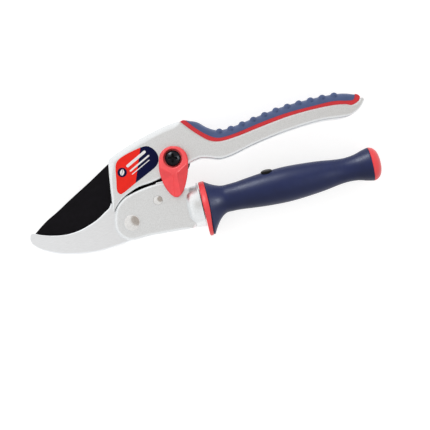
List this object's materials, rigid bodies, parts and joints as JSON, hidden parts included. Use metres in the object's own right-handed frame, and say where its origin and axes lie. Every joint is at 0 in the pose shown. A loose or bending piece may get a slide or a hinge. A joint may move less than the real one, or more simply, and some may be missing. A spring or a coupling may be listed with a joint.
{
  "type": "pruning shears",
  "caption": "Bypass pruning shears: a coated blade swings past a fixed hook, with a lock lever, a ribbed upper handle and a lower grip that turns.",
  "frame": {"origin": "middle of the underside of the closed shears, lying on their back", "axes": "+X from the blade towards the handle ends, along the turning grip; +Y from the turning grip towards the upper handle; +Z out of the face with the lock lever"},
  "size_m": [0.2156, 0.0712, 0.027],
  "materials": {
    "cast_alloy": "die-cast, satin",
    "hook_steel": "ground, satin",
    "blade_steel": "black non-stick coating, satin",
    "bright_steel": "turned, bright",
    "dark_steel": "oiled",
    "spring_steel": "drawn wire",
    "black_steel": "black oxide",
    "bronze": "sintered bronze",
    "nylon": "moulded",
    "black_plastic": "moulded",
    "red_plastic": "moulded, semi-gloss",
    "liner_red": "moulded",
    "soft_blue": "soft-touch, matte",
    "pad_blue": "soft-touch, matte",
    "label_red": "printed film",
    "label_navy": "printed film",
    "label_white": "printed film"
  },
  "bodies": {
    "lower_handle": {"lower_frame": "cast_alloy", "hook": "hook_steel", "pivot_bolt": "bright_steel", "pivot_washer": "bright_steel", "pivot_nut": "dark_steel", "spring_bush": "bronze", "torsion_spring": "spring_steel", "stop_rivet": "bright_steel", "spindle": "bright_steel", "spindle_pin": "dark_steel", "spindle_clip": "spring_steel", "thrust_washer": "black_plastic"},
    "upper_handle": {"upper_frame": "cast_alloy", "blade": "blade_steel", "blade_screws": "black_steel", "spring_peg": "bright_steel", "grip_liner": "liner_red", "grip_pad": "pad_blue", "label_red": "label_red", "label_navy": "label_navy", "label_print": "label_white", "lever_screw": "black_steel", "lever_washer": "bright_steel"},
    "lever": {"lock_lever": "red_plastic", "lever_bush": "bright_steel"},
    "turning_grip": {"grip_core": "red_plastic", "grip_sleeve": "soft_blue", "grip_collar": "red_plastic", "grip_end_cap": "red_plastic", "grip_stop_screw": "dark_steel", "screw_plug": "black_plastic", "front_bush": "nylon", "rear_bush": "nylon"}
  },
  "joints": [
    {"name": "main_pivot", "type": "hinge", "parent": "lower_handle", "child": "upper_handle", "pos_m": [-0.0456, -0.01706, 0.0135], "axis": [0, 0, 1], "range_deg": [0, 35], "deforming": ["torsion_spring"]},
    {"name": "lock_turn", "type": "hinge", "parent": "upper_handle", "child": "lever", "pos_m": [-0.0131, 0.01464, 0.0235], "axis": [0, 0, -1], "range_deg": [0, 28]},
    {"name": "grip_turn", "type": "hinge", "parent": "lower_handle", "child": "turning_grip", "pos_m": [0.0494, -0.01586, 0.0135], "axis": [1, 0, 0], "range_deg": [-60, 30]}
  ]
}
